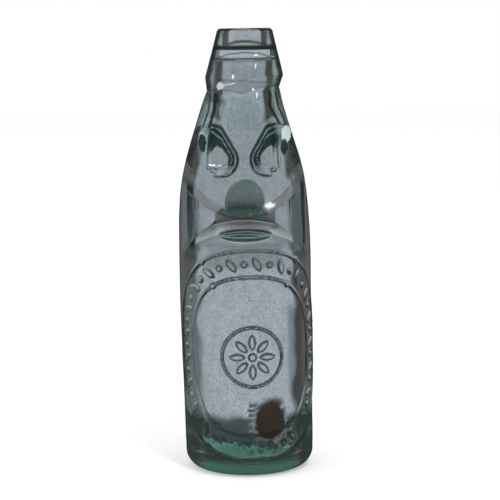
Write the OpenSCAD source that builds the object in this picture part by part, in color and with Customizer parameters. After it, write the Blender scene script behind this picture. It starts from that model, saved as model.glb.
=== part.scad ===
// Marble stopper bottle: a blown glass bottle with a pinched neck chamber, two front lugs,
// an applied lip with a rubber ring in its groove, and a loose glass marble as the stopper.
// Millimetres. The bottle stands on z = 0, its axis is Z, and its front, with the lugs, faces -Y.

/* [Overall] */
// Height from the foot to the rim of the lip
height = 220; // [212:1:230]

/* [Body] */
// Widest diameter, from the foot of the shoulder to the middle of the body
body_d = 66; // [63:0.5:70]
// Diameter just above the rounded heel
foot_d = 64.2; // [62:0.1:66]
// Height at which the body starts to taper down to the foot
taper_z = 76; // [60:1:95]
// Thickness of the glass in the body
body_wall = 5.8; // [4:0.1:7]
// Radius of the rounded heel
heel_r = 8.5; // [6:0.5:11]
// Radius of the corner between the inside wall and the floor
floor_corner_r = 7; // [4:0.5:10]
// Thickness of the glass in the base, between the hollow under it and the floor
base_t = 8; // [5:0.5:12]
// Height of the hollow under the base
push_up_h = 2.4; // [1:0.1:4]
// Diameter of the hollow under the base
push_up_d = 34; // [24:1:42]

/* [Relief] */
// Height of the middle of the two embossed frames
plate_z = 61; // [60:0.5:63]
// Shift of the frames round the body, measured on the glass
plate_x = 2.7; // [-4:0.1:4]
// Width of the outer frame, measured round the glass
frame_w = 90; // [84:0.5:92]
// Height of the outer frame
frame_h = 104.8; // [100:0.2:105]
// Width of the inner frame, measured round the glass
inner_frame_w = 68; // [60:0.5:72]
// Height of the inner frame
inner_frame_h = 79; // [70:0.5:82]
// Width of an embossed line
ridge_w = 1.5; // [1:0.1:2]
// Height of the embossing over the glass
ridge_h = 0.7; // [0.4:0.05:1]
// Number of leaves between the frames, with a bead between each two
leaf_count = 22; // [12:1:24]
// Length of a leaf
leaf_l = 7.2; // [5:0.1:8]
// Width of a leaf
leaf_w = 3; // [2:0.1:4]
// Diameter of a bead
bead_d = 2.8; // [2:0.1:3.5]
// Diameter of the round frame in the middle
medal_d = 29.4; // [26:0.2:36]
// Number of leaves in the flower inside it
petal_count = 8; // [5:1:9]
// Diameter of the middle of the flower
flower_d = 3.6; // [2:0.1:5]

/* [Shoulder] */
// Height at which the shoulder has reached the full width of the body
shoulder_z = 106; // [98:1:108]
// Height at which the straight neck cone turns into the shoulder
cone_z = 160.8; // [156:0.2:164]
// Outside diameter at that height
cone_d = 53.8; // [51:0.2:57]
// Thickness of the glass there
cone_wall = 5.9; // [4.5:0.1:7]

/* [Pinch] */
// Height of the narrowest line of the pinch
pinch_z = 126; // [123:0.5:129]
// Gap between the front and back of the pinch, narrower than the marble
throat_gap = 12; // [9:0.5:14]
// Thickness of the glass in the pinch
pinch_wall = 4; // [3:0.1:5]
// Width of the straight middle of the pinch
pinch_w = 31.2; // [26:0.2:34]
// Angle at which the ends of the pinch run out to the sides
pinch_end_angle = 22; // [18:1:30]
// Rise of the chamber's underside over the narrowest line
chamber_rise = 3; // [2:0.1:5]
// Radius of the underside, which curves up to the left and the right
chamber_floor_r = 35; // [34:0.5:40]
// Height from the underside to the widest place of the chamber
chamber_h = 18.5; // [16:0.5:20]
// Height of the rounded top of the body
body_dome_h = 18; // [16:0.5:20]
// Height of the flat round the narrowest line
pinch_flat_h = 1; // [0.6:0.1:2]

/* [Neck] */
// Outside diameter of the neck under the lip
neck_d = 35.8; // [34.5:0.1:37]
// Diameter of the bore through the neck
neck_bore_d = 24.4; // [23:0.1:26]
// Height of the straight bore between the lip's joint and the widening of the chamber
neck_bore_h = 13; // [8:0.5:16]

/* [Lugs] */
// Distance of each lug's round lower end from the middle
lug_x = 10.6; // [9.5:0.1:12]
// Height of the round lower end
lug_z = 157.3; // [154:0.1:160]
// Radius of the round lower end
lug_r = 7.7; // [6:0.1:8.5]
// Distance of the narrow upper end from the middle
lug_top_x = 16; // [14.5:0.1:17]
// Rise from the lower end to the upper end
lug_rise = 13.2; // [11:0.1:15]
// Radius of the narrow upper end
lug_top_r = 3; // [2:0.1:3.5]
// Thickness of the glass round a lug
lug_wall = 4.2; // [3:0.1:5]

/* [Lip] */
// Height of the lip, from its lower edge on the neck to the rim
lip_h = 29.8; // [28:0.1:32]
// Widest diameter of the lip, near its lower edge
lip_d = 38.6; // [38:0.1:41]
// Height of the widest place above the lower edge
lip_wide_h = 6.4; // [5:0.1:8]
// Diameter of the lip just under its rim
rim_d = 27; // [25:0.1:29]
// Radius of the rounded outer edge of the rim
rim_r = 2; // [1:0.1:2.4]
// Radius of the rounded edge at the widest place
lip_edge_r = 1.6; // [0.8:0.1:2.4]
// Diameter of the mouth
mouth_d = 18.5; // [17.5:0.1:19]
// Radius of the rounded edge of the mouth
mouth_edge_r = 0.8; // [0.4:0.1:1.2]
// Length of the mouth, from the rim to the groove
mouth_h = 10; // [8:0.1:12]
// Depth of the joint where the lip laps over the end of the neck
lap_h = 4.8; // [3:0.1:6]
// Thickness of the end of the neck inside the lip
lap_wall = 3.6; // [2.5:0.1:4]

/* [Ring] */
// Height of the ring and its groove
ring_h = 3.8; // [3:0.1:5]
// Outside diameter of the ring and its groove
ring_d = 24.8; // [24:0.1:26]
// Inside diameter of the ring, smaller than the mouth
ring_hole_d = 16.8; // [15.5:0.1:17.3]
// Radius of the ring's rounded inner edges
ring_edge_r = 1.4; // [0.8:0.1:1.5]
// Inside diameter of the ledge that carries the ring
ledge_d = 22; // [21:0.1:22.5]
// Height of the ledge
ledge_h = 1.4; // [1:0.1:2.5]

/* [Marble] */
// Diameter of the marble, larger than the mouth and than the gap in the pinch
marble_d = 19.7; // [19.2:0.1:20.4]
// Gap between the marble and the glass that it rests on
marble_gap = 0.3; // [0.2:0.05:0.5]
// Half the length of the straight trough that the marble rests in
trough_half_l = 8; // [5:0.5:9]

/* [Hidden] */
$fn = 96;
eps = 0.5;
arc_steps = 6;
curve_steps = 9;
throat_overlap = 3;
throat_inset = 0.6;
frame_power = 2.4;
frame_turn = 60;
frame_gap = 0.3;
frame_step = 3;
frame_side = 0.85;
leaf_turn = 60;
glass = [0.55, 0.66, 0.66, 0.5];
lip_glass = [0.45, 0.6, 0.57, 0.6];
marble_glass = [0.3, 0.47, 0.4];
rubber = [0.62, 0.6, 0.55];

body_r = body_d / 2;
foot_r = foot_d / 2;
cone_r = cone_d / 2;
neck_r = neck_d / 2;
neck_bore_r = neck_bore_d / 2;
marble_r = marble_d / 2;
body_in_r = body_r - body_wall;
foot_in_r = foot_r - body_wall;
cone_in_r = cone_r - cone_wall;
lip_z = height - lip_h;
lap_z = lip_z + lap_h;
lap_r = neck_bore_r + lap_wall;
bore_end_z = lap_z - neck_bore_h;
groove_z = height - mouth_h - ring_h;
floor_z = push_up_h + base_t;

// The pinch: flat faces front and back, with the curved underside of the chamber above them
// and the round top of the body below
pinch_face_y = throat_gap / 2 + pinch_wall;
chamber_r = cone_r + 5;
chamber_in_r = chamber_r - cone_wall - 1.6;
body_face_share = sqrt(1 - pow(pinch_face_y / body_r, 2));
chamber_floor_z = pinch_z + chamber_rise;
chamber_mid_z = chamber_floor_z + chamber_h;
body_dome_z = pinch_z - pinch_flat_h / 2 - body_dome_h * body_face_share;

// The marble rests on the rounded front and back edges of the throat
marble_z = pinch_z + sqrt(pow(marble_r + pinch_wall, 2) - pow(pinch_face_y, 2));
ring_edge_x = ring_hole_d / 2 + ring_edge_r;
marble_top_z = groove_z + ring_edge_r
    - sqrt(pow(marble_r + ring_edge_r, 2) - pow(ring_edge_x, 2)) - marble_gap;
marble_travel = marble_top_z - marble_z;
echo(marble_z = marble_z, marble_travel = marble_travel);

// Points of an arc of an ellipse, from angle from_a to angle to_a
function oval(x, z, rx, rz, from_a, to_a, steps) = [
    for (i = [0 : steps])
        let (a = from_a + (to_a - from_a) * i / steps)
        [x + rx * cos(a), z + rz * sin(a)]
];

function arc(x, z, r, from_a, to_a, steps = arc_steps) = oval(x, z, r, r, from_a, to_a, steps);

// Points of a cubic curve that leaves a towards b and reaches d from c
function curve(a, b, c, d, steps = curve_steps) = [
    for (i = [0 : steps])
        let (t = i / steps, s = 1 - t)
        s * s * s * a + 3 * s * s * t * b + 3 * s * t * t * c + t * t * t * d
];

// A corner between three points, rounded with radius r
function rounded(before, corner, after, r) =
    let (
        u = (before - corner) / norm(before - corner),
        v = (after - corner) / norm(after - corner),
        half = acos(u * v) / 2,
        middle = corner + (u + v) / norm(u + v) * r / sin(half),
        first = corner + u * r / tan(half) - middle,
        last = corner + v * r / tan(half) - middle,
        from_a = atan2(first[1], first[0]),
        turn = atan2(last[1], last[0]) - from_a,
        short_turn = turn > 180 ? turn - 360 : turn < -180 ? turn + 360 : turn
    )
    arc(middle[0], middle[1], r, from_a, from_a + short_turn);

// Radius of the circle through the rim of a hollow and its middle
function hollow_r(half_width, depth) = (half_width * half_width + depth * depth) / (2 * depth);

// The hollow under the base, from its middle out to its rim
function push_up(half_width, depth, z) =
    let (r = hollow_r(half_width, depth), a = asin(half_width / r))
    arc(0, z + depth - r, r, 90, 90 - a);

// The outside of the glass, from the middle of the foot to the top of the neck
function outside() = concat(
    push_up(push_up_d / 2, push_up_h, 0),
    arc(foot_r - heel_r, heel_r, heel_r, -90, 0),
    [[body_r, taper_z]],
    curve([body_r, shoulder_z], [body_r, shoulder_z + 30],
        shoulder_handle(), [cone_r, cone_z]),
    [[neck_r, lip_z], [lap_r, lip_z], [lap_r, lap_z], [0, lap_z]]
);

// The shoulder curve leaves the neck cone in the cone's own direction
function shoulder_handle() =
    let (slope = (cone_r - neck_r) / (lip_z - cone_z))
    [cone_r + slope * 13.4, cone_z - 13.4];

// The inside of the chamber and neck
function chamber_inside() = concat(
    [
        [0, chamber_floor_z],
        [chamber_in_r, chamber_floor_z],
        [chamber_in_r, chamber_mid_z],
        [cone_in_r, cone_z]
    ],
    curve([cone_in_r, cone_z], [cone_in_r - 3.6, cone_z + 10],
        [neck_bore_r + 0.6, bore_end_z - 9], [neck_bore_r, bore_end_z]),
    [[neck_bore_r, lap_z + eps], [0, lap_z + eps]]
);

// The inside of the body, from the middle of the floor to the top of the dome
function body_inside() = concat(
    push_up(push_up_d / 2, push_up_h, floor_z - push_up_h),
    arc(foot_in_r - floor_corner_r, floor_z - push_up_h + floor_corner_r, floor_corner_r,
        -90, 0),
    [[body_in_r, taper_z]],
    oval(0, body_dome_z, body_in_r, body_dome_h - pinch_wall, 0, 90, curve_steps)
);

// A point of a frame, with its place measured on the glass from the middle of the frames
function frame_point(w, h, t) = [
    w / 2 * sign(cos(t)) * pow(abs(cos(t)), 2 / frame_power),
    h / 2 * sign(sin(t)) * pow(abs(sin(t)), 2 / frame_power)
];

// The point that lies out beside a frame's own line
function beside_frame(w, h, t, out) =
    let (
        along = frame_point(w, h, t + 0.5) - frame_point(w, h, t - 0.5),
        across = [along[1], -along[0]] / norm(along)
    )
    frame_point(w, h, t) + across * out;

// Turn round the bottle's axis that brings a place on the glass to the front
function turn_of(u) = (plate_x + u) / body_r * 180 / PI;

// Length along a frame from its rightmost point, as pairs of length and angle
function frame_lengths(w, h, t = 0, length = 0) =
    t >= 360 ? [[length, t]] : concat(
        [[length, t]],
        frame_lengths(w, h, t + frame_step,
            length + norm(frame_point(w, h, t + frame_step) - frame_point(w, h, t)))
    );

module turned(points) {
    rotate_extrude() polygon(points);
}

// The space in front of the pinch's face, before chamber and body are taken out of it
module pinch_wedge() {
    side_x = body_r + 5;
    side_y = pinch_face_y + (side_x - pinch_w / 2) * tan(pinch_end_angle);
    translate([0, 0, body_dome_z])
        linear_extrude(chamber_floor_z + chamber_floor_r - body_dome_z)
            polygon([
                [-pinch_w / 2, -pinch_face_y],
                [pinch_w / 2, -pinch_face_y],
                [side_x, -side_y],
                [side_x, -side_x * 1.2],
                [-side_x, -side_x * 1.2],
                [-side_x, -side_y]
            ]);
}

// All that lies over a curved floor which is the same from front to back
module above_floor(r) {
    middle_z = chamber_floor_z + chamber_floor_r;
    translate([0, body_d, middle_z])
        rotate([90, 0, 0])
            linear_extrude(2 * body_d) {
                circle(r);
                translate([-r, 0]) square([2 * r, height]);
            }
}

module body_dome() {
    turned(concat(
        [[0, body_dome_z - eps], [body_r, body_dome_z - eps]],
        oval(0, body_dome_z, body_r, body_dome_h, 0, 90, curve_steps)
    ));
}

module pinch_cut() {
    difference() {
        pinch_wedge();
        above_floor(chamber_floor_r);
        body_dome();
    }
}

// The slot that joins chamber and body, as wide as the inside and too narrow for the marble.
// It runs on a little way into both, just inside their walls
module throat() {
    low_z = body_dome_z - throat_overlap;
    high_z = chamber_mid_z + throat_overlap;
    intersection() {
        translate([0, 0, low_z])
            cylinder(
                h = high_z - low_z,
                r1 = body_in_r - throat_inset,
                r2 = chamber_in_r - throat_inset
            );
        translate([-body_r, -throat_gap / 2, low_z - eps])
            cube([body_d, throat_gap, high_z - low_z + 2 * eps]);
    }
}

// The round trough across the throat that the marble settles in
module marble_trough() {
    seat_r = marble_r + marble_gap;
    tapered_capsule(
        [-trough_half_l, 0, marble_z], seat_r,
        [trough_half_l, 0, marble_z], seat_r
    );
}

// Depth of the glass surface at a place on the neck cone
function surface_y(x, z) =
    let (r = neck_r + (cone_r - neck_r) * (lip_z - z) / (lip_z - cone_z))
    -sqrt(max(r * r - x * x, 1));

// A ball drawn out to another ball that is no larger, as one turned solid
module tapered_capsule(a, ra, b, rb) {
    span = norm(b - a);
    lean = asin((ra - rb) / span);
    dir = (b - a) / span;
    translate(a)
        rotate([0, acos(dir[2]), atan2(dir[1], dir[0])])
            turned(concat(
                arc(0, 0, ra, -90, lean),
                arc(0, span, rb, lean, 90)
            ));
}

// One lug, as the dent outside (grow = 0) or the bulge inside (grow = lug_wall)
module lug(side, grow) {
    top_z = lug_z + lug_rise;
    low = [side * lug_x, surface_y(lug_x, lug_z), lug_z];
    high = [side * lug_top_x, surface_y(lug_top_x, top_z), top_z];
    tapered_capsule(low, lug_r + grow, high, lug_top_r + grow);
}

module bottle_inside() {
    difference() {
        union() {
            intersection() {
                turned(chamber_inside());
                above_floor(chamber_floor_r - pinch_wall);
            }
            turned(body_inside());
            throat();
            marble_trough();
        }
        for (side = [-1, 1])
            lug(side, lug_wall);
    }
}

// The skin that the embossing is cut from, between the middle of the wall and its top
module relief_skin() {
    depth = body_wall / 2;
    turned(concat(
        arc(foot_r - heel_r, heel_r, heel_r + ridge_h, -45, 0, 3),
        [[body_r + ridge_h, taper_z]],
        oval(0, body_dome_z, body_r + ridge_h, body_dome_h + ridge_h, 0, 40, 4),
        oval(0, body_dome_z, body_r - depth, body_dome_h - depth, 40, 0, 4),
        [[body_r - depth, taper_z]],
        arc(foot_r - heel_r, heel_r, heel_r - depth, 0, -45, 3)
    ));
}

// Stands a flat shape up in front of the body at a place on the glass, going right through
// the skin
module on_glass(u, v) {
    rotate([0, 0, turn_of(u)])
        translate([0, -body_r / 4, plate_z + v])
            rotate([90, 0, 0])
                linear_extrude(body_r)
                    children();
}

// One stretch of a frame's line, from angle from_t to angle to_t, seen from place u0
module frame_stretch(w, h, from_t, to_t, u0, steps = 10) {
    function seen(p) = [body_r * sin(turn_of(p[0]) - turn_of(u0)), p[1]];
    turns = [for (i = [0 : steps]) from_t + (to_t - from_t) * i / steps];
    on_glass(u0, 0)
        polygon(concat(
            [for (t = turns) seen(beside_frame(w, h, t, ridge_w / 2))],
            [for (i = [steps : -1 : 0]) seen(beside_frame(w, h, turns[i], -ridge_w / 2))]
        ));
}

// A frame in four stretches, with a bead over each place where two of them meet
module frame(w, h) {
    for (quarter = [0 : 3]) {
        half = quarter % 2 == 0 ? frame_turn : 90 - frame_turn;
        middle = quarter * 90;
        frame_stretch(w, h, middle - half + frame_gap, middle + half - frame_gap,
            cos(middle) * w / 2 * frame_side);
        meet = frame_point(w, h, middle + half);
        on_glass(meet[0], meet[1]) circle(d = bead_d, $fn = 32);
    }
}

module leaf() {
    polygon([[-leaf_l / 2, 0], [0, -leaf_w / 2], [leaf_l / 2, 0], [0, leaf_w / 2]]);
}

// Leaves and beads in turn along the band between the frames
module border() {
    w = (frame_w + inner_frame_w) / 2;
    h = (frame_h + inner_frame_h) / 2;
    lengths = frame_lengths(w, h);
    step = lengths[len(lengths) - 1][0] / (2 * leaf_count);
    for (i = [0 : 2 * leaf_count - 1]) {
        t = lookup((i + 0.5) * step, lengths);
        place = frame_point(w, h, t);
        out = beside_frame(w, h, t, 1) - place;
        on_glass(place[0], place[1])
            rotate(atan2(out[1], out[0]) - 90)
                if (i % 2 == 0)
                    rotate(leaf_turn) leaf();
                else
                    circle(d = bead_d, $fn = 32);
    }
}

// The round frame in the middle with a flower in it
module medal() {
    on_glass(0, 0) {
        difference() {
            circle(d = medal_d + ridge_w);
            circle(d = medal_d - ridge_w);
        }
        circle(d = flower_d, $fn = 32);
        for (i = [1 : petal_count])
            rotate(i * 360 / petal_count) translate([medal_d / 4, 0]) leaf();
    }
}

module relief() {
    intersection() {
        relief_skin();
        union() {
            frame(frame_w, frame_h);
            frame(inner_frame_w, inner_frame_h);
            border();
            medal();
        }
    }
}

module bottle_body() {
    color(glass) {
        difference() {
            turned(outside());
            pinch_cut();
            rotate([0, 0, 180]) pinch_cut();
            for (side = [-1, 1])
                lug(side, 0);
            bottle_inside();
        }
        relief();
    }
}

module applied_lip() {
    wide = [lip_d / 2, lip_z + lip_wide_h];
    low = [neck_r, lip_z];
    rim = [rim_d / 2, height];
    groove_top_z = groove_z + ring_h;
    color(lip_glass)
        turned(concat(
            [low],
            rounded(low, wide, rim, lip_edge_r),
            rounded(wide, rim, [mouth_d / 2, height], rim_r),
            arc(mouth_d / 2 + mouth_edge_r, height - mouth_edge_r, mouth_edge_r, 90, 180),
            [
                [mouth_d / 2, groove_top_z],
                [ring_d / 2, groove_top_z],
                [ring_d / 2, groove_z],
                [ledge_d / 2, groove_z],
                [ledge_d / 2, groove_z - ledge_h],
                [neck_bore_r, groove_z - ledge_h - (neck_bore_r - ledge_d / 2)],
                [neck_bore_r, lap_z],
                [lap_r, lap_z],
                [lap_r, lip_z]
            ]
        ));
}

module sealing_ring() {
    inner = ring_edge_x;
    color(rubber)
        turned(concat(
            [[ring_d / 2, groove_z], [ring_d / 2, groove_z + ring_h]],
            arc(inner, groove_z + ring_h - ring_edge_r, ring_edge_r, 90, 180),
            arc(inner, groove_z + ring_edge_r, ring_edge_r, 180, 270)
        ));
}

module marble() {
    color(marble_glass)
        translate([0, 0, marble_z])
            sphere(r = marble_r);
}

bottle_body();
applied_lip();
sealing_ring();
marble();
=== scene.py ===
"""Marble stopper bottle: the looks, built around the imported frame.

Shapes are worked out in millimetres in the row frame and become meshes in metres.
"""

import math

import bpy
import numpy as np
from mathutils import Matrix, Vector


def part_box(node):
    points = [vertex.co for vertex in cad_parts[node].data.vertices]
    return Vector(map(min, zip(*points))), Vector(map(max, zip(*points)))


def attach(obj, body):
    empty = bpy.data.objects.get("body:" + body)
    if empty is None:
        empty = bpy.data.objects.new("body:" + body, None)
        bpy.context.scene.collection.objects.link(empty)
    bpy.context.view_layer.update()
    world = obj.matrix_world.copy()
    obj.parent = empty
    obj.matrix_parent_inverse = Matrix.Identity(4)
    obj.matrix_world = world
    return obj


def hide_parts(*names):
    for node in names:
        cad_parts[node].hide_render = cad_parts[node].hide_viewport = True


MM = 0.001
SEED = 7

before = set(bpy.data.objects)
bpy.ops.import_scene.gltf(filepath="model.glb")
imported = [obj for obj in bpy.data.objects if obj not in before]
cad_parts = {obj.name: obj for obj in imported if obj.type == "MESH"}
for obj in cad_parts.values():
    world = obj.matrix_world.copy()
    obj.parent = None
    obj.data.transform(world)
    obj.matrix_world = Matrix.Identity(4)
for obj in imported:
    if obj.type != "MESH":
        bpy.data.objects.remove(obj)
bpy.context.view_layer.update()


def span(node):
    """Lowest and highest corner of a CAD node, in millimetres."""
    low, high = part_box(node)
    return np.array(low) / MM, np.array(high) / MM


body_low, body_high = span("bottle_body")
lip_low, lip_high = span("applied_lip")
ring_low, ring_high = span("sealing_ring")
marble_low, marble_high = span("marble")

# Driving sizes from the frame
HEIGHT = lip_high[2]
LIP_Z = lip_low[2]
LIP_R = 19.3
LAP_Z = body_high[2]
RING_Z = ring_low[2]
RING_H = ring_high[2] - ring_low[2]
RING_R = ring_high[0]
MARBLE_R = (marble_high[2] - marble_low[2]) / 2
MARBLE_Z = (marble_high[2] + marble_low[2]) / 2

# Body and base
BODY_R = 33.0
FOOT_R = 32.1
HEEL_R = 8.5
TAPER_Z = 76.0
WALL = 5.8
PUSH_UP_R = 17.0
PUSH_UP_H = 2.4
FLOOR_Z = 8.0
FLOOR_CORNER_R = 7.0

# Shoulder and neck
SHOULDER_Z = 106.0
CONE_Z = 160.8
CONE_R = 26.9
CONE_WALL = 5.9
NECK_R = 17.9
BORE_R = 12.2
BORE_END_Z = LAP_Z - 13.0

# Pinch
PINCH_Z = 126.0
THROAT_HALF = 6.0
PINCH_WALL = 4.0
PINCH_HALF_W = 15.6
PINCH_END_SLOPE = math.tan(math.radians(22))
BODY_DOME_H = 18.0
PINCH_FLAT_H = 1.0
FACE_Y = THROAT_HALF + PINCH_WALL
CHAMBER_FLOOR_Z = PINCH_Z + 3.0
CHAMBER_FLOOR_R = 35.0
CHAMBER_MID_Z = CHAMBER_FLOOR_Z + 18.5
CHAMBER_IN_R = CONE_R + 5.0 - CONE_WALL - 1.6
BODY_DOME_Z = PINCH_Z - PINCH_FLAT_H / 2 - BODY_DOME_H * math.sqrt(
    1 - (FACE_Y / BODY_R) ** 2
)
SEAT_R = MARBLE_R + 0.3
TROUGH_HALF_L = 8.0
CEILING_H = BODY_DOME_H - PINCH_WALL
PINCH_LOW = 100.0
PINCH_HIGH = 156.0

# Lugs
LUG_MIDDLE_X = 0.7
LUG_LOW = np.array([11.0, 157.3])
LUG_LOW_R = 7.7
LUG_HIGH = np.array([16.2, 170.3])
LUG_HIGH_R = 3.1
LUG_OPEN = 0.45

# Lip
LIP_WIDE_Z = LIP_Z + 6.4
RIM_R = 13.5
RIM_ROUND = 2.0
LIP_ROUND = 1.6
MOUTH_R = 9.25
MOUTH_ROUND = 0.8
LEDGE_R = 11.0
LEDGE_H = 1.4


def smooth_max(a, b, k):
    h = np.clip(0.5 + 0.5 * (a - b) / k, 0, 1)
    return b + (a - b) * h + k * h * (1 - h)


def smooth_min(a, b, k):
    return -smooth_max(-a, -b, k)


def smooth_step(x):
    x = np.clip(x, 0, 1)
    return x * x * (3 - 2 * x)


def arc(x, z, rx, rz, from_deg, to_deg, steps=24):
    a = np.radians(np.linspace(from_deg, to_deg, steps + 1))
    return [(x + rx * math.cos(t), z + rz * math.sin(t)) for t in a]


def bezier(a, b, c, d, steps=40):
    t = np.linspace(0, 1, steps + 1)[:, None]
    a, b, c, d = (np.array(p, float) for p in (a, b, c, d))
    s = 1 - t
    points = s**3 * a + 3 * s * s * t * b + 3 * s * t * t * c + t**3 * d
    return [tuple(p) for p in points]


def rounded(before, corner, after, radius, steps=10):
    """The corner between three points, rounded with the radius."""
    before, corner, after = (np.array(p, float) for p in (before, corner, after))
    u = (before - corner) / np.linalg.norm(before - corner)
    v = (after - corner) / np.linalg.norm(after - corner)
    half = math.acos(np.clip(u @ v, -1, 1)) / 2
    middle = corner + (u + v) / np.linalg.norm(u + v) * radius / math.sin(half)
    first = corner + u * radius / math.tan(half) - middle
    last = corner + v * radius / math.tan(half) - middle
    start = math.atan2(first[1], first[0])
    turn = (math.atan2(last[1], last[0]) - start + math.pi) % (2 * math.pi) - math.pi
    return [
        (
            middle[0] + radius * math.cos(start + turn * i / steps),
            middle[1] + radius * math.sin(start + turn * i / steps),
        )
        for i in range(steps + 1)
    ]


def resample(points, step):
    """Points about step apart along a broken line, both ends kept."""
    p = np.array(points, float)
    length = np.concatenate([[0], np.cumsum(np.linalg.norm(np.diff(p, axis=0), axis=1))])
    count = max(2, int(math.ceil(length[-1] / step)) + 1)
    at = np.linspace(0, length[-1], count)
    return np.stack([np.interp(at, length, p[:, 0]), np.interp(at, length, p[:, 1])], 1)


def hollow(half_width, depth, z):
    """The round hollow under the base, from its middle to its rim."""
    r = (half_width**2 + depth**2) / (2 * depth)
    a = math.degrees(math.asin(half_width / r))
    return arc(0, z + depth - r, r, r, 90, 90 - a)


def ripple(angle, z, seed, wave, count=9):
    """Smooth wandering between about -1 and 1 over the glass, the same each run."""
    rng = np.random.default_rng(SEED + seed)
    total = np.zeros(np.broadcast(angle, z).shape)
    for _ in range(count):
        turns = rng.integers(0, max(2, int(2 * math.pi * 30 / wave)))
        rise = rng.uniform(-1, 1) * 2 * math.pi / wave
        total += np.sin(turns * angle + rise * z + rng.uniform(0, 2 * math.pi))
    return total / math.sqrt(count) / 1.3


# Outline of the outside as radius over height, without the pinch
def outside_line():
    slope = (CONE_R - NECK_R) / (LIP_Z - CONE_Z)
    return (
        [(FOOT_R, HEEL_R), (BODY_R, TAPER_Z)]
        + bezier(
            (BODY_R, SHOULDER_Z),
            (BODY_R, SHOULDER_Z + 30),
            (CONE_R + slope * 13.4, CONE_Z - 13.4),
            (CONE_R, CONE_Z),
        )
        + [(NECK_R, LIP_Z)]
    )


def inside_line():
    """Outline of the inside from the top of the chamber dome up to the lip."""
    cone_in = CONE_R - CONE_WALL
    return (
        [(CHAMBER_IN_R, CHAMBER_MID_Z)]
        + bezier(
            (cone_in, CONE_Z),
            (cone_in - 3.6, CONE_Z + 10),
            (BORE_R + 0.6, BORE_END_Z - 9),
            (BORE_R, BORE_END_Z),
        )
        + [(BORE_R, LAP_Z)]
    )


def radius_at(line, z):
    line = np.array(line)
    return np.interp(z, line[:, 1], line[:, 0])


def outside_rows():
    """(radius, height, kind) of each ring of the outside, from the middle of the base up."""
    foot = np.concatenate(
        [
            resample(hollow(PUSH_UP_R, PUSH_UP_H, 0), 2.0)[1:],
            resample([(PUSH_UP_R, 0), (FOOT_R - HEEL_R, 0)], 1.6)[1:],
            resample(arc(FOOT_R - HEEL_R, HEEL_R, HEEL_R, HEEL_R, -90, 0), 0.7)[1:],
        ]
    )
    line = outside_line()
    low = np.arange(HEEL_R + 0.5, PINCH_LOW, 0.5)
    high = np.concatenate([np.arange(PINCH_HIGH, 176, 0.5), np.arange(176, LIP_Z - 0.8, 0.8)])
    body = (
        list(zip(radius_at(line, low), low))
        + pinch_outside(angles(), line)
        + list(zip(radius_at(line, high), high))
    )
    wide = (LIP_R, LIP_WIDE_Z)
    low = (NECK_R, LIP_Z)
    rim = (RIM_R, HEIGHT)
    lip = resample(
        [low]
        + rounded(low, wide, rim, LIP_ROUND)
        + rounded(wide, rim, (MOUTH_R, HEIGHT), RIM_ROUND)
        + [(MOUTH_R + MOUTH_ROUND, HEIGHT)],
        0.5,
    )
    return foot, body, lip


def inside_rows():
    """The rings of the inside, from the edge of the mouth down to the middle of the floor."""
    groove_top = RING_Z + RING_H
    mouth = resample(
        arc(MOUTH_R + MOUTH_ROUND, HEIGHT - MOUTH_ROUND, MOUTH_ROUND, MOUTH_ROUND, 90, 180, 8)
        + rounded((MOUTH_R, HEIGHT), (MOUTH_R, groove_top), (RING_R, groove_top), 0.5, 5)
        + rounded((MOUTH_R, groove_top), (RING_R, groove_top), (RING_R, RING_Z), 0.8, 5)
        + rounded((RING_R, groove_top), (RING_R, RING_Z), (LEDGE_R, RING_Z), 0.8, 5)
        + rounded((RING_R, RING_Z), (LEDGE_R, RING_Z), (LEDGE_R, RING_Z - 2), 0.5, 5)
        + [(LEDGE_R, RING_Z - LEDGE_H), (BORE_R, RING_Z - LEDGE_H - 1.2), (BORE_R, LAP_Z)],
        0.35,
    )[1:]
    line = inside_line()
    body_in = BODY_R - WALL
    foot_in = FOOT_R - WALL
    high = np.arange(LAP_Z - 1.0, PINCH_HIGH, -0.8)
    low = np.arange(PINCH_LOW, FLOOR_Z + FLOOR_CORNER_R, -1.6)
    lower = [(foot_in, FLOOR_Z + FLOOR_CORNER_R), (body_in, TAPER_Z), (body_in, PINCH_LOW)]
    walls = (
        list(zip(radius_at(line, high), high))
        + pinch_inside(angles(), line)
        + list(zip(radius_at(lower, low), low))
    )
    floor = np.concatenate(
        [
            resample(
                arc(
                    foot_in - FLOOR_CORNER_R,
                    FLOOR_Z + FLOOR_CORNER_R,
                    FLOOR_CORNER_R,
                    FLOOR_CORNER_R,
                    0,
                    -90,
                ),
                1.0,
            ),
            resample(list(reversed(hollow(PUSH_UP_R, PUSH_UP_H, FLOOR_Z))), 2.0)[:-1],
        ]
    )
    return mouth, walls, floor


def waist(angle, face, half_width):
    """Radius of the pinched waist's plan: a flat face with ends that lean outwards."""
    c = np.abs(np.cos(angle))
    s = np.abs(np.sin(angle))
    far = 200.0
    flat = face / np.maximum(c, face / far)
    lean = np.maximum(c - PINCH_END_SLOPE * s, 0.02)
    ends = (face - half_width * PINCH_END_SLOPE) / lean
    return smooth_max(flat, np.minimum(ends, far), 0.8)


# The chamber's wall inside, as (height, radius), how round its edges are, and the collar of
# glass round the marble's seat, as (radius, height) of its upper and lower edge
CHAMBER_WALL = [
    (PINCH_LOW, 27.2), (BODY_DOME_Z, 27.2), (121.0, 28.2), (132.0, 28.2), (140.0, 26.2),
    (CHAMBER_MID_Z, CHAMBER_IN_R),
]
EDGE_ROUND = 1.5
FLOOR_FILLET = 1.2
FLOOR_WALL = 1.4
COLLAR_TOP = (11.6, 133.6)
COLLAR_FOOT = (14.1, 129.8)


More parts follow.
